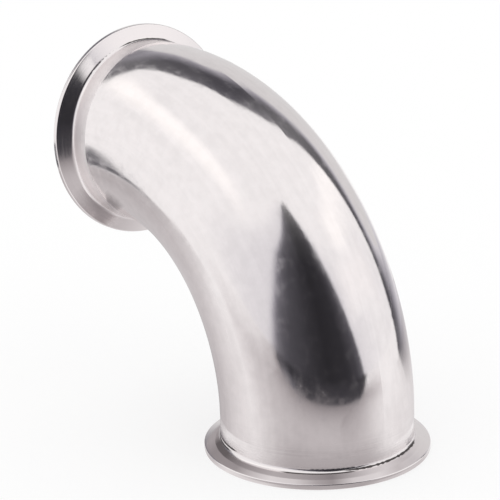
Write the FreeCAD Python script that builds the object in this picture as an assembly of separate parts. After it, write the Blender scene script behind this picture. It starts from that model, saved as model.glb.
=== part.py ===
"""A 90 degree stainless elbow for hygienic pipework, with a clamp ferrule on each end.

A tube is bent through a quarter turn, and keeps a short straight run at each end. A turned
ferrule is butt welded to each run, and the weld is ground flush. The ferrule is a hub of the
tube's own section that opens into a flat flange: a sealing face with a half-round groove for
the gasket, a narrow rim, and a sloping back that the clamp's jaws ride on.

The lower ferrule's face lies on Z = 0 with its bore on the Z axis. The bend runs up from it
and over towards -X, in the plane Y = 0. Sizes are in millimetres.
"""

import FreeCAD
import Part
import math
import os

# Tube and bend
TUBE_OD = 101.6
TUBE_WALL = 2.0
BEND_RADIUS = 130.5      # of the tube's centre line
BEND_ANGLE = 90.0        # between the two ports
TANGENT_LENGTH = 4.3     # straight run left at each end of the bend

# Ferrule
FERRULE_LENGTH = 12.7    # sealing face to weld
FLANGE_STEP = 8.7        # how far the flange stands out beyond the tube
RIM_WIDTH = 2.85         # flange thickness at its outside
BACK_ANGLE = 20.0        # slope of the flange's back, from the face's plane
ROOT_FILLET = 2.4        # between the back and the hub
BACK_ROUND = 0.8         # between the back and the rim
FACE_ROUND = 0.4         # between the rim and the face

# Gasket groove in the sealing face
GROOVE_INSET = 4.35      # from the flange's outside to the circle along the groove's middle
GROOVE_DEPTH = 1.6
GROOVE_RADIUS = 2.35     # of its half-round section
GROOVE_LIP_ROUND = 0.25  # where the groove meets the face

TUBE_R = TUBE_OD / 2
BORE_R = TUBE_R - TUBE_WALL
FLANGE_R = TUBE_R + FLANGE_STEP
GROOVE_R = FLANGE_R - GROOVE_INSET
BEND_START = FERRULE_LENGTH + TANGENT_LENGTH

ORIGIN = FreeCAD.Vector(0, 0, 0)
Y_AXIS = FreeCAD.Vector(0, 1, 0)
Z_AXIS = FreeCAD.Vector(0, 0, 1)


def section_wire(corners):
    """A closed outline in the X-Z half plane. Each corner is (radius, height, size of its round)."""
    points = [FreeCAD.Vector(r, 0, z) for r, z, _ in corners]
    entries, exits, arcs = [], [], []
    for i, (_, _, round_r) in enumerate(corners):
        here = points[i]
        back = (points[i - 1] - here).normalize()
        ahead = (points[(i + 1) % len(points)] - here).normalize()
        if round_r == 0:
            entries.append(here)
            exits.append(here)
            arcs.append(None)
            continue
        half_angle = back.getAngle(ahead) / 2
        reach = round_r / math.tan(half_angle)
        middle_line = (back + ahead).normalize()
        centre = here + middle_line * (round_r / math.sin(half_angle))
        entries.append(here + back * reach)
        exits.append(here + ahead * reach)
        arcs.append(centre - middle_line * round_r)
    edges = []
    for i in range(len(corners)):
        if arcs[i] is not None:
            edges.append(Part.Arc(entries[i], arcs[i], exits[i]).toShape())
        edges.append(Part.makeLine(exits[i], entries[(i + 1) % len(corners)]))
    return Part.Wire(edges)


def turned(wire):
    """The solid that a lathe leaves: an outline turned once about Z."""
    return Part.Face(wire).revolve(ORIGIN, Z_AXIS, 360)


def ferrule_blank():
    """Flange and hub in one, standing on the sealing face, before the groove is cut."""
    hub_root = RIM_WIDTH + FLANGE_STEP * math.tan(math.radians(BACK_ANGLE))
    return turned(section_wire([
        (BORE_R, 0, 0),
        (FLANGE_R, 0, FACE_ROUND),
        (FLANGE_R, RIM_WIDTH, BACK_ROUND),
        (TUBE_R, hub_root, ROOT_FILLET),
        (TUBE_R, FERRULE_LENGTH, 0),
        (BORE_R, FERRULE_LENGTH, 0),
    ]))


def gasket_groove():
    """What the form tool takes out of the sealing face: a ring of round section, part of it below."""
    ring_centre = Z_AXIS * (GROOVE_DEPTH - GROOVE_RADIUS)
    return Part.makeTorus(GROOVE_R, GROOVE_RADIUS, ring_centre, Z_AXIS)


def ferrule():
    """A weld ferrule, face down on Z = 0 with its weld end up."""
    body = ferrule_blank().cut(gasket_groove())
    lips = [edge for edge in body.Edges if is_groove_lip(edge)]
    return body.makeFillet(GROOVE_LIP_ROUND, lips)


def is_groove_lip(edge):
    """True for the two circles where the groove meets the sealing face."""
    half_width = math.sqrt(GROOVE_RADIUS ** 2 - (GROOVE_RADIUS - GROOVE_DEPTH) ** 2)
    if not isinstance(edge.Curve, Part.Circle) or abs(edge.BoundBox.ZMax) > 1e-6:
        return False
    return abs(abs(edge.Curve.Radius - GROOVE_R) - half_width) < 1e-6


def bend_line():
    """The tube's centre line: straight, a quarter turn, straight."""
    turn = math.radians(BEND_ANGLE)
    pivot = FreeCAD.Vector(-BEND_RADIUS, 0, BEND_START)

    def on_arc(angle):
        return pivot + FreeCAD.Vector(math.cos(angle), 0, math.sin(angle)) * BEND_RADIUS

    run_out = FreeCAD.Vector(-math.sin(turn), 0, math.cos(turn))
    weld_low = Z_AXIS * FERRULE_LENGTH
    arc_end = on_arc(turn)
    weld_high = arc_end + run_out * TANGENT_LENGTH
    return Part.Wire([
        Part.makeLine(weld_low, on_arc(0)),
        Part.Arc(on_arc(0), on_arc(turn / 2), arc_end).toShape(),
        Part.makeLine(arc_end, weld_high),
    ])


def bent_tube():
    """The tube's ring section swept along the centre line."""
    rings = [Part.Wire(Part.makeCircle(r, Z_AXIS * FERRULE_LENGTH, Z_AXIS)) for r in (TUBE_R, BORE_R)]
    outside, bore = [bend_line().makePipeShell([ring], True, True) for ring in rings]
    return outside.cut(bore)


def upper_port():
    """Where the lower ferrule goes to become the upper one: on the tube's far end, face outwards."""
    far_end = bend_line().Edges[-1]
    run_out = (far_end.valueAt(far_end.LastParameter) - far_end.valueAt(far_end.FirstParameter)).normalize()
    face_centre = far_end.valueAt(far_end.LastParameter) + run_out * FERRULE_LENGTH
    return FreeCAD.Placement(face_centre, FreeCAD.Rotation(Y_AXIS, 180 - BEND_ANGLE))


def build():
    """Every piece by its node name, each where it sits in the finished elbow."""
    upper = ferrule()
    upper.Placement = upper_port()
    return {
        "elbow_bend": bent_tube(),
        "lower_ferrule": ferrule(),
        "upper_ferrule": upper,
    }


os.makedirs("parts", exist_ok=True)
for name, shape in build().items():
    shape.exportStep("parts/" + name + ".step")
    print(name, "valid", shape.isValid(), "solids", len(shape.Solids), "mm3", round(shape.Volume, 1))
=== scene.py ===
import math

import bpy
from mathutils import Matrix, Vector


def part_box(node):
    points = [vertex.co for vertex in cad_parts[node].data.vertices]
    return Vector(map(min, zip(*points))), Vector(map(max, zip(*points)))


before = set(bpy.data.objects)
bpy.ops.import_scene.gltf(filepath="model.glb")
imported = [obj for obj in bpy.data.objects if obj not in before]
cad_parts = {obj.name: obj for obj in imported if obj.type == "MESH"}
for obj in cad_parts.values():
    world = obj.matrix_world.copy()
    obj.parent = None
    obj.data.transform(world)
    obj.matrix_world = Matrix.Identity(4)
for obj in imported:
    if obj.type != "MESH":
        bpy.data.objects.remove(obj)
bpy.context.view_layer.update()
scene = bpy.context.scene

# The bend
# A length of welded stainless tube, drawn round a mandrel through a quarter turn.
# Its outside is belt ground along the tube and then buffed nearly to a mirror, and the
# first few millimetres at each weld keep the satin of the weld's grinding.

BEND_RADIUS = 0.1305
tube_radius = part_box("elbow_bend")[1].y
upper_face_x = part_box("upper_ferrule")[0].x
bend_start = -upper_face_x - BEND_RADIUS

STEEL = (0.86, 0.815, 0.815)
BUFFED_ROUGHNESS = 0.065
GROUND_HIGH = 0.42                    # roughness of the upper weld's satin
GROUND_LOW = 0.2                      # the lower weld was buffed over, which leaves little of it
SATIN_END = 0.0176                    # from the sealing face to where the buffing starts
SATIN_EDGE = 0.0003                   # half the width of the satin's edge at the upper weld
SATIN_WANDER = 0.0004                 # how far that edge wanders
SATIN_INNER_EXTRA = 0.003             # the buffing wheel reaches less far on the bend's inside
THINNING_START = SATIN_END - 0.004    # the lower weld's satin has no edge, and thins out from here
THINNING_END = SATIN_END + 0.012

# How many lumps per metre each pattern has: across the tube both ways, and then along it
CLOUDS = (28, 28, 28)
MOTTLE = (190, 190, 190)
WANDER = (60, 60, 60)
STROKES = (260, 260, 9)
HAIRS = (2600, 2600, 90)
GRAIN = (5000, 5000, 1600)
GRINDING = (30, 30, 2400)
RIPPLES = (34, 34, 16)

# How deep the patterns are that can be felt
RIPPLE_DEPTH = 0.00013
GRINDING_DEPTH = 0.00002
HAIR_DEPTH = 0.000007
GRAIN_DEPTH = 0.000005
GRINDING_LEFT_LOW = 0.4    # how much of the grinding's lines the lower weld has left


class Nodes:
    """A material's node tree, with a short call for each kind of node that the finishes need."""

    def __init__(self, name):
        self.material = bpy.data.materials.new(name)
        self.material.use_nodes = True
        self.tree = self.material.node_tree
        self.shader = self.tree.nodes["Principled BSDF"]

    def add(self, kind, inputs=(), **settings):
        node = self.tree.nodes.new(kind)
        for name, value in settings.items():
            setattr(node, name, value)
        for socket, value in dict(inputs).items():
            if isinstance(value, bpy.types.NodeSocket):
                self.tree.links.new(value, node.inputs[socket])
            else:
                node.inputs[socket].default_value = value
        return node

    def maths(self, operation, *values):
        return self.add("ShaderNodeMath", dict(enumerate(values)), operation=operation).outputs[0]

    def plus(self, first, second):
        return self.maths("ADD", first, second)

    def minus(self, first, second):
        return self.maths("SUBTRACT", first, second)

    def times(self, first, second):
        return self.maths("MULTIPLY", first, second)

    def diagonal(self, first, second):
        """How far a point lies from the origin, from how far it lies along two axes."""
        squares = self.plus(self.times(first, first), self.times(second, second))
        return self.maths("SQRT", squares)

    def noise(self, place, lumps, detail):
        """Noise from 0 to 1, with so many lumps to the unit along each axis."""
        mapped = self.add("ShaderNodeMapping", {"Vector": place, "Scale": lumps}).outputs[0]
        inputs = {"Vector": mapped, "Scale": 1.0, "Detail": detail}
        return self.add("ShaderNodeTexNoise", inputs).outputs[0]

    def fade(self, value, low, high, start=0.0, end=1.0):
        """Start where the value is below low, end where it is above high, and smooth between them."""
        inputs = {"Value": value, "From Min": low, "From Max": high, "To Min": start, "To Max": end}
        return self.add("ShaderNodeMapRange", inputs, interpolation_type="SMOOTHSTEP").outputs[0]

    def vary(self, noise, start, end):
        """A fade from start to end by a noise, which lies mostly between 0.3 and 0.7."""
        return self.fade(noise, 0.3, 0.7, start, end)

    def mix(self, share, first, second):
        inputs = {"Factor": share, "A": first, "B": second}
        return self.add("ShaderNodeMix", inputs, data_type="FLOAT").outputs[0]

    def bump(self, height, distance, below=None):
        inputs = {"Height": height, "Distance": distance, "Strength": 1.0}
        if below is not None:
            inputs["Normal"] = below
        return self.add("ShaderNodeBump", inputs).outputs[0]

    def into(self, socket, value):
        self.tree.links.new(value, self.shader.inputs[socket])

    def surface(self, shader):
        self.tree.links.new(shader, self.tree.nodes["Material Output"].inputs["Surface"])


def steel(name):
    finish = Nodes(name)
    finish.shader.inputs["Metallic"].default_value = 1.0
    finish.shader.inputs["Base Color"].default_value = (*STEEL, 1)
    return finish


def bend_finish():
    finish = steel("polished_tube")
    place = finish.add("ShaderNodeTexCoord").outputs["Object"]
    x, y, z = finish.add("ShaderNodeSeparateXYZ", {0: place}).outputs

    # Where each point would lie if the tube were straight again: across, across, along
    out_x = finish.plus(x, BEND_RADIUS)
    out_z = finish.minus(z, bend_start)
    arm_x = finish.maths("MAXIMUM", out_x, 0.0)
    arm_z = finish.maths("MAXIMUM", out_z, 0.0)
    outward = finish.minus(finish.diagonal(arm_x, arm_z), BEND_RADIUS)
    turned = finish.times(finish.maths("ARCTAN2", arm_z, arm_x), BEND_RADIUS)
    before = finish.maths("MINIMUM", out_z, 0.0)
    after = finish.maths("MINIMUM", out_x, 0.0)
    along = finish.minus(finish.plus(turned, before), after)
    straight = finish.add("ShaderNodeCombineXYZ", {0: outward, 1: y, 2: along}).outputs[0]

    # Satin at the welds
    inner = finish.fade(outward, -tube_radius, 0.0, SATIN_INNER_EXTRA, 0.0)
    wander = finish.vary(finish.noise(straight, WANDER, 2), -SATIN_WANDER, SATIN_WANDER)
    from_high = finish.minus(finish.minus(finish.minus(x, upper_face_x), inner), wander)
    satin_high = finish.fade(from_high, SATIN_END - SATIN_EDGE, SATIN_END + SATIN_EDGE, 1.0, 0.0)
    satin_low = finish.fade(z, THINNING_START, THINNING_END, 1.0, 0.0)

    # Buffing marks along the tube, a cloudy film over them, and the fine grain under it all
    strokes = finish.noise(straight, STROKES, 4)
    hairs = finish.noise(straight, HAIRS, 3)
    grain = finish.noise(straight, GRAIN, 2)
    clouds = finish.noise(straight, CLOUDS, 3)
    mottle = finish.noise(straight, MOTTLE, 4)
    buffed = finish.plus(finish.vary(clouds, -0.02, 0.03), BUFFED_ROUGHNESS)
    buffed = finish.plus(finish.fade(strokes, 0.35, 0.7, -0.01, 0.03), buffed)
    buffed = finish.plus(finish.fade(grain, 0.5, 0.8, 0.0, 0.12), buffed)
    buffed = finish.plus(finish.fade(mottle, 0.45, 0.75, -0.01, 0.09), buffed)
    grinding = finish.noise(straight, GRINDING, 3)
    ground_high = finish.vary(grinding, GROUND_HIGH - 0.06, GROUND_HIGH + 0.06)
    ground_low = finish.vary(grinding, GROUND_LOW - 0.05, GROUND_LOW + 0.05)
    rough = finish.mix(satin_low, buffed, ground_low)
    finish.into("Roughness", finish.mix(satin_high, rough, ground_high))

    # The film dulls the steel a little, in soft patches and lengthwise strokes, and the weld's
    # grinding leaves its lines round the tube
    tone = finish.plus(finish.vary(clouds, 0.985, 1.015), finish.vary(mottle, -0.028, 0.024))
    tone = finish.plus(tone, finish.fade(strokes, 0.35, 0.65, -0.015, 0.015))
    welded = finish.maths("MAXIMUM", satin_high, satin_low)
    tone = finish.plus(tone, finish.times(welded, finish.vary(grinding, -0.04, 0.03)))
    dulled = finish.add("ShaderNodeVectorMath", {0: STEEL, "Scale": tone}, operation="SCALE")
    finish.into("Base Color", dulled.outputs[0])

    # Ripples that the mandrel leaves, too shallow to see but for what they do to reflections
    swell = finish.bump(finish.noise(straight, RIPPLES, 1), RIPPLE_DEPTH)
    scored = finish.bump(hairs, HAIR_DEPTH, swell)
    grained = finish.bump(grain, GRAIN_DEPTH, scored)
    left_low = finish.times(satin_low, GRINDING_LEFT_LOW)
    lines = finish.times(grinding, finish.maths("MAXIMUM", satin_high, left_low))
    finish.into("Normal", finish.bump(lines, GRINDING_DEPTH, grained))
    return finish.material


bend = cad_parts["elbow_bend"]
bend.data.materials.clear()
bend.data.materials.append(bend_finish())

# The two ferrules
# Turned from stainless bar and butt welded to the tube, with the weld ground flush.
# The flange's back and rim show the lathe's fine rings, and the hub has been ground satin
# together with the weld.

FLANGE_ROUGHNESS = 0.13
ROOT_RADIUS = tube_radius + 0.0001   # the hub's satin stops at the foot of the fillet
BORE_RADIUS = tube_radius - 0.001    # somewhere in the wall, between the hub's outside and the bore
SHARP = 0.0001                       # half the width of an edge between two finishes
LATHE_RINGS = (2600, 400, 8)         # lumps per metre: out and up, out and down, and across
LOWER_RING_DEPTH = 0.00005
UPPER_RING_DEPTH = 0.000015
FLANGE_CLOUDS = (60, 60, 60)

ROOT_SHADE_COLOUR = (0.1, 0.09, 0.09)          # painted shade: a dark line in the root of the flange, where hub and flange meet
ROOT_SHADE_ROUGHNESS = 0.5
ROOT_SHADE_RADIUS = tube_radius - 0.0004
ROOT_SHADE_FAINT = -0.00006             # how far inside its own edge it starts to show
ROOT_SHADE_FULL = 0.00012               # and how far inside it is at its darkest
ROOT_SHADE_PATCHES = (0.3, 0.3, 0.3)    # lumps per degree
SPAN_FADE = 8                        # degrees in which a span of painted shade thins out at either end
SPAN_CLIMB = 20                      # degrees in which it climbs to its last height


def ferrule_finish(name, face_centre, tip, hub_roughness, ring_depth, shaded_spans):
    """The finish of a ferrule whose sealing face is centred there, tipped about Y from face down.

    Each span of painted shade in the root runs from an angle to another. It lies at one height, and
    climbs to the other over its last part. Then come half of its thickness, and how broken it is.
    """
    finish = steel(name)
    place = finish.add("ShaderNodeTexCoord").outputs["Object"]
    centred = finish.add("ShaderNodeVectorMath", {0: place, 1: face_centre}, operation="SUBTRACT")
    tipped = {"Vector": centred.outputs[0], "Angle": tip}
    upright = finish.add("ShaderNodeVectorRotate", tipped, rotation_type="Y_AXIS").outputs[0]
    x, y, z = finish.add("ShaderNodeSeparateXYZ", {0: upright}).outputs
    radius = finish.diagonal(x, y)

    # Lathe rings: a noise that runs on with the radius and the height, and hardly round the ring
    cuts = {0: finish.plus(radius, z), 1: finish.minus(radius, z), 2: x}
    rings = finish.noise(finish.add("ShaderNodeCombineXYZ", cuts).outputs[0], LATHE_RINGS, 3)

    hub = finish.fade(radius, ROOT_RADIUS - SHARP, ROOT_RADIUS + SHARP, 1.0, 0.0)
    bore = finish.fade(radius, BORE_RADIUS - 2 * SHARP, BORE_RADIUS + 2 * SHARP, 1.0, 0.0)
    on_hub = finish.times(hub, finish.minus(1.0, bore))
    clouds = finish.noise(upright, FLANGE_CLOUDS, 3)
    turned = finish.plus(finish.vary(rings, -0.03, 0.04), FLANGE_ROUGHNESS)
    turned = finish.plus(finish.vary(clouds, -0.03, 0.04), turned)
    ground = finish.vary(rings, hub_roughness - 0.06, hub_roughness + 0.06)
    rough = finish.mix(on_hub, turned, ground)

    # Painted shade: a thin dark line in the corner between hub and flange
    angle = finish.maths("DEGREES", finish.maths("ARCTAN2", x, y))
    ragged = finish.add("ShaderNodeCombineXYZ", {0: angle}).outputs[0]
    patches = finish.noise(ragged, ROOT_SHADE_PATCHES, 5)
    painted_shade = 0.0
    for start, end, low, high, half, broken in shaded_spans:
        begun = finish.fade(angle, start, start + SPAN_FADE)
        inside = finish.times(begun, finish.fade(angle, end - SPAN_FADE, end, 1.0, 0.0))
        whole = finish.fade(patches, 0.4, 0.6, 1.0 - broken, 1.0)
        reach = finish.times(finish.times(inside, whole), half)
        height = finish.fade(angle, end - SPAN_CLIMB, end, low, high)
        off = finish.maths("ABSOLUTE", finish.minus(z, height))
        line = finish.fade(finish.minus(reach, off), ROOT_SHADE_FAINT, ROOT_SHADE_FULL)
        painted_shade = finish.maths("MAXIMUM", painted_shade, finish.times(line, inside))
    outside = finish.fade(radius, ROOT_SHADE_RADIUS - SHARP, ROOT_SHADE_RADIUS + SHARP)
    painted_shade = finish.times(painted_shade, outside)
    colours = {0: painted_shade, 6: (*STEEL, 1), 7: (*ROOT_SHADE_COLOUR, 1)}
    finish.into("Base Color", finish.add("ShaderNodeMix", colours, data_type="RGBA").outputs[2])
    finish.into("Roughness", finish.mix(painted_shade, rough, ROOT_SHADE_ROUGHNESS))
    finish.into("Normal", finish.bump(rings, ring_depth))
    return finish.material


# Spans of painted shade in the root of each flange
lower_root_shade = [
    (50, 120, 0.006, 0.0062, 0.0005, 0.4),
    (106, 156, 0.0055, 0.0055, 0.0002, 0.0),
    (-172, -122, 0.0066, 0.0066, 0.0004, 0.2),
    (-178, -136, 0.0082, 0.0082, 0.0006, 0.0),
]
upper_root_shade = [(-112, -66, 0.0059, 0.0059, 0.0003, 0.3)]
upper_centre = (upper_face_x, 0.0, -upper_face_x)
for node, face_centre, tip, hub_roughness, ring_depth, shaded_spans in (
    ("lower_ferrule", (0, 0, 0), 0.0, GROUND_LOW, LOWER_RING_DEPTH, lower_root_shade),
    ("upper_ferrule", upper_centre, -math.pi / 2, GROUND_HIGH, UPPER_RING_DEPTH, upper_root_shade),
):
    name = node + "_steel"
    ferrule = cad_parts[node]
    ferrule.data.materials.clear()
    ferrule.data.materials.append(
        ferrule_finish(name, face_centre, tip, hub_roughness, ring_depth, shaded_spans))

# The floor
# A matt white sheet that the elbow stands on. It takes the elbow's soft shadow, and whatever
# looks at it finds it lit a little from below too, so that the shadow stays light.

FLOOR_SIZE = 30
SHEET_GLOW = 0.65


def lit_sheet(name):
    """A material that gives light of its own, and isn't sampled as a lamp."""
    sheet = Nodes(name)
    sheet.material.cycles.emission_sampling = "NONE"
    return sheet


def floor_finish():
    sheet = lit_sheet("white_sheet")
    sheet.shader.inputs["Base Color"].default_value = (1, 1, 1, 1)
    sheet.shader.inputs["Roughness"].default_value = 1.0
    sheet.shader.inputs["Specular IOR Level"].default_value = 0.0
    ray = sheet.add("ShaderNodeLightPath").outputs
    mirrored = sheet.plus(ray["Is Glossy Ray"], ray["Is Transmission Ray"])
    share = sheet.times(sheet.plus(ray["Is Camera Ray"], mirrored), SHEET_GLOW)
    shaders = {0: share, 1: sheet.shader.outputs[0], 2: sheet.add("ShaderNodeEmission").outputs[0]}
    sheet.surface(sheet.add("ShaderNodeMixShader", shaders).outputs[0])
    return sheet.material


bpy.ops.object.select_all(action="DESELECT")
bpy.ops.mesh.primitive_plane_add(size=FLOOR_SIZE)
floor = bpy.context.object
floor.name = "floor"
floor.data.materials.append(floor_finish())

# The studio
# A white tent lights the elbow evenly from all round. What gives the metal its darks is what
# the tent leaves open: the gap for the camera, and a dark frame behind with a grey cloth in it.

world = bpy.data.worlds.new("tent")
scene.world = world
world.use_nodes = True
world.node_tree.nodes["Background"].inputs["Color"].default_value = (1, 1, 1, 1)
world.node_tree.nodes["Background"].inputs["Strength"].default_value = 1.0

STUDIO_CENTRE = Vector((-0.05, 0.0, 0.08))
HORIZON = -1.5    # the elevation at which what hangs in the studio comes down to the floor
CARD_STEPS = 6    # faces of a card from one of its lines to the next


def towards(azimuth, elevation=0.0):
    """A direction in the studio. Azimuth 0 is +Y and 90 is +X."""
    a, e = math.radians(azimuth), math.radians(elevation)
    return Vector((math.sin(a) * math.cos(e), math.cos(a) * math.cos(e), math.sin(e)))


def hung(edge, distance):
    """Points in the air, each an azimuth and an elevation from the studio's centre."""
    return [STUDIO_CENTRE + towards(azimuth, elevation) * distance for azimuth, elevation in edge]


def shade(level):
    """A neutral shade that is a little blue where it is dark."""
    depth = 1.0 - level
    return (level, level * (1 - 0.03 * depth), level * (1 + 0.13 * depth))


def toned(tone, levels):
    """Stops for a ramp, from places along it and the level of a tone at each."""
    return [(at, tone(level)) for at, level in levels]


def even(levels):
    """Stops for a ramp from grey levels that lie an even step apart."""
    return [(i / (len(levels) - 1), (level, level, level)) for i, level in enumerate(levels)]


def ramp(sheet, place, stops):
    """A colour ramp, read at a place from 0 to 1. A new one has two stops already."""
    node = sheet.add("ShaderNodeValToRGB", {0: place})
    for i, (at, colour) in enumerate(stops):
        element = node.color_ramp.elements[i] if i < 2 else node.color_ramp.elements.new(at)
        element.position = at
        element.color = (*colour, 1)
    return node.outputs[0]


def card_finish(name, light, cover, ends, underside_only):
    """A card's own light across it, and how much of the card there is along it and across it."""
    sheet = lit_sheet(name)
    sheet.tree.nodes.remove(sheet.shader)
    place = sheet.add("ShaderNodeUVMap").outputs[0]
    across, along, _ = sheet.add("ShaderNodeSeparateXYZ", {0: place}).outputs
    share = sheet.times(ramp(sheet, along, even(cover)), ramp(sheet, across, even(ends)))
    if underside_only:
        share = sheet.times(share, sheet.add("ShaderNodeNewGeometry").outputs["Backfacing"])
    clear = sheet.add("ShaderNodeBsdfTransparent").outputs[0]
    shine = sheet.add("ShaderNodeEmission", {0: ramp(sheet, across, light)}).outputs[0]
    sheet.surface(sheet.add("ShaderNodeMixShader", {0: share, 1: clear, 2: shine}).outputs[0])
    return sheet.material


def card(name, lines, light, cover=(1, 1), ends=(1, 1), underside_only=False):
    """A sheet across lines of points, which only metal reflects.

    Its light and its ends run from line to line, and its cover runs along the lines.
    """
    points, places, faces = [], [], []
    wide = (len(lines) - 1) * CARD_STEPS + 1
    for row in range(len(lines[0])):
        for i in range(wide):
            k = min(i // CARD_STEPS, len(lines) - 2)
            points.append(lines[k][row].lerp(lines[k + 1][row], i / CARD_STEPS - k))
            places.append((i / (wide - 1), row / (len(lines[0]) - 1)))
    for row in range(len(lines[0]) - 1):
        for i in range(wide - 1):
            corner = row * wide + i
            faces.append((corner, corner + 1, corner + wide + 1, corner + wide))
    mesh = bpy.data.meshes.new(name)
    mesh.from_pydata(points, [], faces)
    layer = mesh.uv_layers.new(name="UVMap")
    for loop in mesh.loops:
        layer.data[loop.index].uv = places[loop.vertex_index]
    mesh.materials.append(card_finish(name, light, cover, ends, underside_only))
    obj = bpy.data.objects.new(name, mesh)
    scene.collection.objects.link(obj)
    obj.visible_camera = False
    obj.visible_diffuse = False
    obj.visible_shadow = False


# The gap that the camera looks in through: crisp on its left, and a soft fold on its right
OPENING_AWAY = 3.0
opening_left = [(71.5, HORIZON), (75, 8), (78.6, 16), (81.8, 24), (85.5, 32), (90, 40), (93, 44),
                (96, 48), (100, 52), (105, 56), (107, 58.5)]
opening_right = [(174, HORIZON), (167.7, 8), (161.1, 16), (155.6, 24), (149.2, 32), (138.5, 40),
                 (133, 44), (128, 48), (123.5, 52), (117, 56), (111, 58.5)]
fold = [(0, 0.14), (0.06, 0.11), (0.12, 0.065), (0.25, 0.035), (0.43, 0.027), (0.55, 0.04),
        (0.65, 0.065), (0.73, 0.08), (0.8, 0.12), (0.86, 0.19), (0.89, 0.29), (0.91, 0.42),
        (0.935, 0.6), (0.965, 0.75), (1, 0.82)]
card("camera_opening", [hung(opening_left, OPENING_AWAY), hung(opening_right, OPENING_AWAY)],
     toned(shade, fold), [1, 1, 1, 1, 1, 0.98, 0.97, 0.94, 0.88, 0.78, 0.5])

# The tent's own cloth falls away into shade towards that gap, on both sides of it
TENT_AWAY = 3.05
shade_left = [(207, HORIZON), (206, 8), (198, 16), (190, 24), (172, 32), (158, 40), (151, 44),
              (144, 48), (137, 52), (128, 56), (120, 60)]
shade_right = [(9, HORIZON), (10, 8), (12, 16), (16, 24), (50, 32), (75, 40), (82, 44), (88, 48),
               (94, 52), (100, 56), (104, 60)]
tent_cover = [1, 1, 1, 1, 1, 0.9, 0.8, 0.75, 0.7, 0.6, 0]
card("tent_left", [hung(opening_right, TENT_AWAY), hung(shade_left, TENT_AWAY)],
     toned(shade, [(0, 0.82), (0.3, 0.84), (0.6, 0.9), (1, 1)]), tent_cover)
card("tent_right", [hung(opening_left, TENT_AWAY), hung(shade_right, TENT_AWAY)],
     toned(shade, [(0, 0.79), (0.12, 0.86), (0.35, 0.93), (0.55, 0.97), (1, 0.95)]), tent_cover)

# The dark frame: an arch over the back, and a post down its right, each soft on the inside
FRAME_AWAY = 3.2
frame_outer = [(252, 33.5), (256, 37), (264, 43.3), (270, 46.2), (276, 52), (282, 60), (288, 63),
               (296, 65.2), (304, 67), (312, 68.7), (320, 69.2), (328, 69.3), (336, 67), (342, 65),
               (349, 61), (357, 53.5), (359.2, 46.5), (361.8, 38), (364, 30), (365, 25),
               (366, 19), (367.4, 11.5), (368.6, 5), (370, HORIZON)]
frame_middle = [(252, 32), (256, 34.5), (264, 39), (270, 40), (276, 40), (282, 43), (288, 45),
                (296, 46), (304, 49), (312, 52), (320, 51.5), (328, 50.5), (336, 47), (342, 44),
                (348, 36), (351, 32), (355.5, 27), (359.5, 23), (361.5, 20), (363, 17),
                (364, 14), (365, 9.5), (365, 4), (365, HORIZON)]
frame_inner = [(252, 30), (256, 31), (264, 33), (270, 30), (276, 28), (282, 26), (288, 24),
               (296, 23), (304, 25.5), (312, 33), (320, 37.5), (328, 36), (336, 33), (342, 28),
               (345, 25), (347.5, 22.5), (350, 20.5), (352, 18.5), (354, 16.5), (355.5, 14.5),
               (356.5, 12.5), (357, 9.5), (355, 5), (345, HORIZON)]
frame_light = [(0, 0.14), (0.08, 0.12), (0.25, 0.08), (0.5, 0.075), (0.6, 0.16), (0.68, 0.27),
               (0.78, 0.42), (0.87, 0.55), (0.93, 0.65), (1, 0.74)]
frame_cover = [0.85, 0.9, 0.9, 0.9, 0.9, 0.93, 0.95, 0.97, 0.97, 1, 1, 1, 0.97, 0.93, 0.9, 0.9,
               0.92, 0.95, 0.97, 1, 1, 0.97, 0.96, 1]
card("dark_frame", [hung(edge, FRAME_AWAY) for edge in (frame_outer, frame_middle, frame_inner)],
     toned(shade, frame_light), frame_cover)


def level_with(edge, second):
    """The azimuths of an edge, all at one elevation or distance."""
    return [(azimuth, second) for azimuth, _ in edge]


# Grey cloth that fills the frame, and the dark wall beside it on the left
CLOTH_AWAY = 3.4
CLOTH_START = 285    # the azimuth past which it shows
CLOTH = (0.74, 0.733, 0.733)
WALL_AWAY = 3.1
WALL = shade(0.2)
cloth_top = [(azimuth, elevation) for azimuth, elevation in frame_middle if azimuth > CLOTH_START]
card("grey_cloth", [hung(cloth_top, CLOTH_AWAY), hung(level_with(cloth_top, HORIZON), CLOTH_AWAY)],
     [(0, CLOTH), (1, CLOTH)])
wall_top = [(244, 22), (250, 29), (256, 33.5), (264, 36), (274, 36), (284, 36), (292, 35), (300, 32)]
card("left_wall", [hung(wall_top, WALL_AWAY), hung(level_with(wall_top, HORIZON), WALL_AWAY)],
     [(0, WALL), (1, WALL)], [0, 0.9, 1, 1, 1, 1, 0.8, 0])


def raised(edge, degrees):
    """An edge in the air, so many degrees higher."""
    return [(azimuth, elevation + degrees) for azimuth, elevation in edge]


# Two lamps behind the tent's cloth, a little brighter than the tent
LAMP_AWAY = 3.3
TENT = (1, 1, 1)
LAMP = (1.19, 1.18, 1.16)
lamp_light = [(0, TENT), (0.3, LAMP), (0.6, LAMP), (1, TENT)]
left_lamp = [(164, 40), (178, 44), (195, 45.5), (212, 44.5), (232, 41.5), (250, 39.5), (262, 38)]
card("left_lamp",
     [hung(raised(left_lamp, 10), LAMP_AWAY), hung(raised(left_lamp, -10), LAMP_AWAY)],
     lamp_light, [0, 0.8, 1, 1, 1, 0.9, 0])
right_lamp = [(0, 29), (6, 31), (12, 34), (20, 37), (35, 38), (50, 37.5), (66, 40)]
card("right_lamp",
     [hung(raised(right_lamp, 11), LAMP_AWAY), hung(raised(right_lamp, -9), LAMP_AWAY)],
     lamp_light, [0.9, 1, 0.7, 0.6, 0.75, 0.9, 0])

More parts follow.
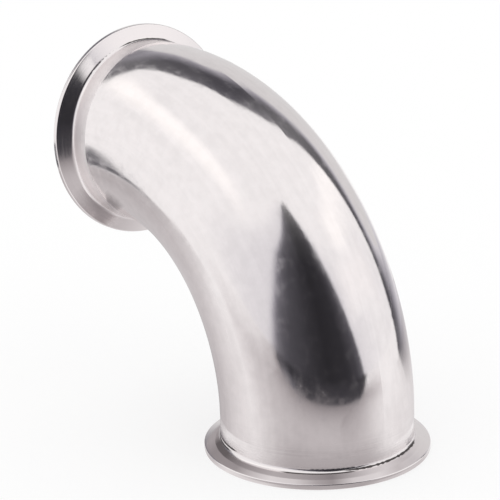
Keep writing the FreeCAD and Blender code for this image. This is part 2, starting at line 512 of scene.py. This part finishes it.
# The tent's brighter side on the right, which only the upper flange's top looks at
BRIGHT_AWAY = 2.45
BRIGHT = (1.04, 1.03, 1.03)
BRIGHT_EDGE = shade(0.98)
bright_side = [(22, 16), (30, 17), (40, 20), (50, 23), (60, 24), (70, 24), (80, 22)]
card("bright_side",
     [hung(raised(bright_side, -9), BRIGHT_AWAY), hung(raised(bright_side, 10), BRIGHT_AWAY)],
     [(0, BRIGHT_EDGE), (0.4, BRIGHT), (0.7, BRIGHT), (1, BRIGHT_EDGE)], [0, 0.8, 1, 1, 1, 0.7, 0])

# Sheets close to the elbow, of painted light and painted shade, which only the metal beside them
# reflects. The first is a painted light that hangs off the upper flange's dark side, and each of its
# places is an azimuth and two elevations from near_upper.
UPPER_LIGHT_AWAY = 0.08
near_upper = Vector((-0.144, -0.043, 0.186))
upper_edge = [(74, 10, 25), (80, 9, 24), (83.5, 8, 23), (86.5, 6, 20), (88.5, 5, 18)]
upper_low = [near_upper + towards(azimuth, low) * UPPER_LIGHT_AWAY for azimuth, low, _ in upper_edge]
upper_high = [near_upper + towards(azimuth, high) * UPPER_LIGHT_AWAY for azimuth, _, high in upper_edge]
card("upper_painted_light", [upper_low, upper_high], toned(shade, [(0, 0.95), (1, 1)]), [1, 1, 0.9, 0.4, 0])


def beside(bearing, height, gap):
    """A point beside the bend, at that height and seen from above at a bearing.

    Near the foot it is a gap away from the tube's outside. Higher up, on the side that the bend
    leans to, it comes closer, and in the end it lies inside the tube.
    """
    rise = max(height - bend_start, 0.0)
    lean = BEND_RADIUS - math.sqrt(BEND_RADIUS ** 2 - rise ** 2)
    return towards(bearing) * (tube_radius + gap) + Vector((-lean, 0, height))


def warm(level):
    """A shade of the table, a little pink where it is dark."""
    depth = 1.0 - level
    return (level, level * (1 - 0.1 * depth), level * (1 - 0.07 * depth))


def by_bearing(levels):
    """Levels of the table's tone at bearings, as stops for a ramp from the first to the last."""
    first, last = levels[0][0], levels[-1][0]
    return toned(warm, [((bearing - first) / (last - first), level) for bearing, level in levels])


# Sheets of painted shade beside the foot of the bend: deep on its left, and lighter on its right
TUBE_GAP = 0.0027
TUBE_COLUMNS = 14
shaded = [(166, 0.86), (180, 0.84), (190, 0.77), (198, 0.69), (206, 0.58), (216, 0.55), (228, 0.46),
          (250, 0.34)]
lighter = [(14, 0.72), (45, 0.77), (60, 0.87), (90, 0.9)]
for name, levels, heights, cover in (
    ("under_painted_shade", shaded, (0.014, 0.03, 0.045, 0.06, 0.075, 0.09), [1, 1, 1, 0.8, 0.6, 0]),
    ("foot_painted_shade", lighter, (0.012, 0.022, 0.032, 0.042, 0.052), [1, 1, 0.8, 0.4, 0]),
):
    first, last = levels[0][0], levels[-1][0]
    bearings = [first + (last - first) * i / TUBE_COLUMNS for i in range(TUBE_COLUMNS + 1)]
    lines = [[beside(bearing, height, TUBE_GAP) for height in heights] for bearing in bearings]
    card(name, lines, by_bearing(levels), cover, [0, 1, 1, 1, 1, 1, 0])

# What the lower flange reflects, painted on sheets: on its rim the painted shadow at its foot, and on
# its back two rings of painted reflection. Each lies between two radii, at one height.
RING_STEP = 4    # degrees from one line of points to the next
rim_foot = [(40, 0.7), (66, 0.66), (84, 0.7), (98, 0.64), (109, 0.46), (141, 0.5), (150, 0.61),
            (158, 0.8), (184, 0.86), (196, 0.68), (206, 0.48), (224, 0.36)]
back_inner = [(40, 0.68), (78, 0.61), (92, 0.75), (103, 0.66), (124, 0.28), (144, 0.44), (156, 0.5),
              (174, 0.34), (194, 0.15), (212, 0.14), (222, 0.34), (320, 0.36)]
back_outer = [(40, 0.7), (76, 0.69), (84, 0.62), (98, 0.82), (113, 0.72), (124, 0.37), (132, 0.46),
              (144, 0.74), (157, 0.82), (168, 0.62), (180, 0.37), (206, 0.32), (222, 0.42), (320, 0.4)]
for name, levels, inner, outer, height, cover, underside_only in (
    ("rim_foot", rim_foot, 0.0597, 0.0695, 0.00015, [1, 1, 0], False),
    ("back_inner", back_inner, 0.0522, 0.0549, 0.0065, [1, 1], True),
    ("back_outer", back_outer, 0.0549, 0.0615, 0.0065, [1, 1, 0.6], True),
):
    distances = [inner + (outer - inner) * i / (len(cover) - 1) for i in range(len(cover))]
    lines = [[towards(bearing) * distance + Vector((0, 0, height)) for distance in distances]
             for bearing in range(levels[0][0], levels[-1][0] + 1, RING_STEP)]
    card(name, lines, by_bearing(levels), cover, [0, 1, 1, 1, 1, 1, 1, 0], underside_only)

# A sheet of painted shade between the upper flange and the bend's inner side. It lies in a plane of its
# own, and its points are how far across and up that plane they are.
shade_place = Vector((-0.1362, -0.0415, 0.1046))
shade_side = Vector((0.101, -0.995, 0))
shade_rise = Vector((0.606, 0.061, 0.793))
shade_outer = [(-0.012, -0.012), (-0.018, -0.006), (-0.017, -0.001), (-0.012, 0.004),
               (-0.009, 0.009), (-0.006, 0.016), (-0.003, 0.022)]
shade_inner = [(-0.006, -0.012), (-0.002, -0.006), (0.002, -0.001), (0.003, 0.004),
               (0.005, 0.009), (0.006, 0.016), (0.008, 0.022)]
lines = [[shade_place + shade_side * across + shade_rise * up for across, up in edge]
         for edge in (shade_outer, shade_inner)]
card("inner_painted_shade", lines, toned(warm, [(0, 0.3), (0.6, 0.3), (1, 0.45)]),
     [0, 0.7, 1, 1, 1, 0.7, 0], [0, 0.7, 1, 0.7, 0])


def laid(edge, level):
    """Points on the floor, each an azimuth and a distance from the lower port's axis."""
    return [towards(azimuth) * distance + Vector((0, 0, level)) for azimuth, distance in edge]


def strip(points, level):
    """Points on the floor, each given by its x and y."""
    return [Vector((x, y, level)) for x, y in points]


# What lies on the floor round the elbow: a table that ends in front of it, and the dark beyond,
# a little paler on the left. Each sheet there has its own level, so that none lies in another.
VOID_LEVEL = 0.0002
VOID_END = 2.95
table_edge = [(67, 2.9), (70, 1.65), (73, 0.765), (77, 0.495), (81.5, 0.365), (89, 0.328), (98, 0.312),
              (112, 0.303), (126, 0.311), (140, 0.343), (150, 0.393), (155, 0.435), (161, 0.53),
              (166.5, 0.7), (169.3, 1.3), (171, 2.9)]
card("front_void",
     [laid(table_edge, VOID_LEVEL), laid(level_with(table_edge, VOID_END), VOID_LEVEL)],
     toned(shade, [(0, 0.085), (0.03, 0.055), (0.2, 0.045), (1, 0.03)]))
VOID_LEFT_LEVEL = 0.00025
void_near = [(142, 0.35), (149, 0.385), (155, 0.435), (161, 0.53), (166, 0.68)]
void_far = [(142, 0.5), (149, 0.62), (155, 0.85), (161, 1.25), (166, 1.9)]
card("void_left", [laid(void_near, VOID_LEFT_LEVEL), laid(void_far, VOID_LEFT_LEVEL)],
     toned(shade, [(0, 0.17), (0.5, 0.13), (1, 0.1)]), [0, 0.8, 1, 1, 0.6], [1, 1, 0.8, 0])

# The table in front, in painted shade, darker near the elbow and darkest out at its edge; its shaded
# sides towards the right and the left, and its pale left end
TABLE_START = 0.062    # where it comes out from under the lower flange
TABLE_NEAR = 0.6       # and how far out the front table is shaded
FRONT_LEVEL = 0.0004
near_edge = [(azimuth, distance) for azimuth, distance in table_edge if distance < TABLE_NEAR]
table_far = [(60, 0.7), (66, 0.7), (72, 0.7)] + near_edge + [(168, 0.6), (180, 0.6)]
card("front_table",
     [laid(level_with(table_far, TABLE_START), FRONT_LEVEL), laid(table_far, FRONT_LEVEL)],
     toned(warm, [(0, 0.46), (0.08, 0.5), (0.14, 0.59), (0.31, 0.57), (0.47, 0.5), (0.63, 0.43),
                  (0.79, 0.36), (1, 0.31)]),
     [0, 0.15, 0.3, 0.48, 0.7, 0.9, 1, 1, 1, 1, 1, 0.9, 0.7, 0.4, 0])
RIGHT_LEVEL = 0.00045
right_near = [(0.08, -0.03), (0.14, -0.05), (0.18, -0.05), (0.22, -0.04), (0.26, -0.02), (0.31, 0.01),
              (0.36, 0.05), (0.44, 0.09), (0.73, 0.21), (2.67, 1.12)]
right_far = [(0.06, 0.05), (0.13, 0.1), (0.19, 0.15), (0.24, 0.2), (0.3, 0.26), (0.36, 0.31),
             (0.43, 0.36), (0.52, 0.42), (0.95, 0.75), (2.4, 2.2)]
card("table_right", [strip(right_near, RIGHT_LEVEL), strip(right_far, RIGHT_LEVEL)],
     toned(warm, [(0, 0.38), (0.25, 0.5), (0.5, 0.63), (0.75, 0.77), (1, 0.93)]),
     [0, 0.45, 0.6, 0.7, 0.85, 1, 1, 0.75, 0.3, 0])
LEFT_LEVEL = 0.0003
left_near = [(0.06, -0.05), (0.09, -0.1), (0.12, -0.18), (0.15, -0.26), (0.17, -0.34), (0.17, -0.42),
             (0.17, -0.55), (0.2, -0.9), (0.5, -2.9)]
left_far = [(-0.01, -0.062), (-0.03, -0.1), (-0.07, -0.18), (-0.15, -0.26), (-0.23, -0.34),
            (-0.3, -0.42), (-0.25, -0.55), (-0.12, -0.9), (0, -2.6)]
card("table_left", [strip(left_near, LEFT_LEVEL), strip(left_far, LEFT_LEVEL)],
     toned(warm, [(0, 0.36), (0.15, 0.48), (0.3, 0.6), (0.5, 0.66), (0.7, 0.73), (0.85, 0.8),
                  (1, 0.93)]),
     [0.3, 0.7, 1, 1, 1, 1, 1, 1, 1])
SIDE_LEVEL = 0.00028
side_near = [(-0.25, -0.37), (-0.27, -0.45), (-0.25, -0.55), (-0.12, -0.9), (0, -2.6)]
side_far = [(-0.36, -0.42), (-0.42, -0.52), (-0.5, -0.65), (-0.6, -0.95), (-0.8, -2.6)]
card("table_side", [strip(side_near, SIDE_LEVEL), strip(side_far, SIDE_LEVEL)],
     toned(warm, [(0, 0.82), (0.3, 0.88), (0.7, 0.93), (1, 1)]), [0.3, 0.7, 1, 1, 1])

# The table behind, with painted shade close to the elbow and towards its far edge, the foot of the dark
# frame on it, and the dark gap past the table's left end
BACK_LEVEL = 0.0005
back_far = [(222, 0.44), (230, 0.5), (240, 0.46), (250, 0.42), (262, 0.405), (275, 0.4), (290, 0.42),
            (305, 0.45), (320, 0.4), (335, 0.4), (350, 0.4), (365, 0.4), (375, 0.4), (385, 0.4)]
card("back_table",
     [laid(level_with(back_far, TABLE_START), BACK_LEVEL), laid(back_far, BACK_LEVEL)],
     toned(warm, [(0, 0.54), (0.07, 0.62), (0.14, 0.76), (0.25, 0.74), (0.4, 0.67), (0.7, 0.61),
                  (0.85, 0.53), (1, 0.48)]),
     [0.1, 0.45, 0.8, 1, 1, 1, 0.95, 0.85, 0.85, 0.9, 1, 0.9, 0.5, 0])
FOOT_LEVEL = 0.0006
foot_right = [(0.03, 0.15), (0.12, 0.42), (0.24, 1.48), (0.51, 3.0)]
foot_left = [(-0.15, 0.15), (-0.19, 0.42), (-0.75, 1.3), (-1.7, 3.0)]
card("frame_foot", [strip(foot_right, FOOT_LEVEL), strip(foot_left, FOOT_LEVEL)],
     toned(shade, [(0, 0.09), (0.06, 0.1), (0.19, 0.14), (0.32, 0.26), (0.44, 0.38), (0.57, 0.52),
                   (0.7, 0.61), (0.83, 0.72), (1, 0.78)]),
     [0, 0.95, 1, 1])
GAP_LEVEL = 0.0007
gap_left = [(-0.403, -0.25), (-0.411, -0.236), (-0.425, -0.231), (-0.443, -0.238),
            (-0.505, -0.293), (-0.605, -0.37), (-0.69, -0.43), (-0.79, -0.49)]
gap_right = [(-0.393, -0.232), (-0.398, -0.215), (-0.403, -0.19), (-0.4, -0.165), (-0.5, -0.13),
             (-0.61, -0.2), (-0.72, -0.3), (-0.83, -0.4)]
card("left_gap", [strip(gap_left, GAP_LEVEL), strip(gap_right, GAP_LEVEL)],
     toned(shade, [(0, 0.12), (0.7, 0.1), (1, 0.24)]), [0, 0.8, 0.9, 1, 1, 1, 1, 0.6])

# The camera
# It looks down a little on the elbow's outer side, as the photograph does.

CAMERA_PLACE = (0.58586, -0.52411, 0.33260)
CAMERA_HEADING = math.radians(50.61)
CAMERA_PITCH = math.radians(-16.05)
CAMERA_ROLL = math.radians(-1.21)
CAMERA_LENS = 115.6
camera_data = bpy.data.cameras.new("camera")
camera_data.lens = CAMERA_LENS
camera = bpy.data.objects.new("camera", camera_data)
scene.collection.objects.link(camera)
camera.matrix_world = (
    Matrix.Translation(CAMERA_PLACE)
    @ Matrix.Rotation(CAMERA_HEADING, 4, "Z")
    @ Matrix.Rotation(math.pi / 2 + CAMERA_PITCH, 4, "X")
    @ Matrix.Rotation(CAMERA_ROLL, 4, "Z")
)
scene.camera = camera
scene.view_settings.view_transform = "Standard"
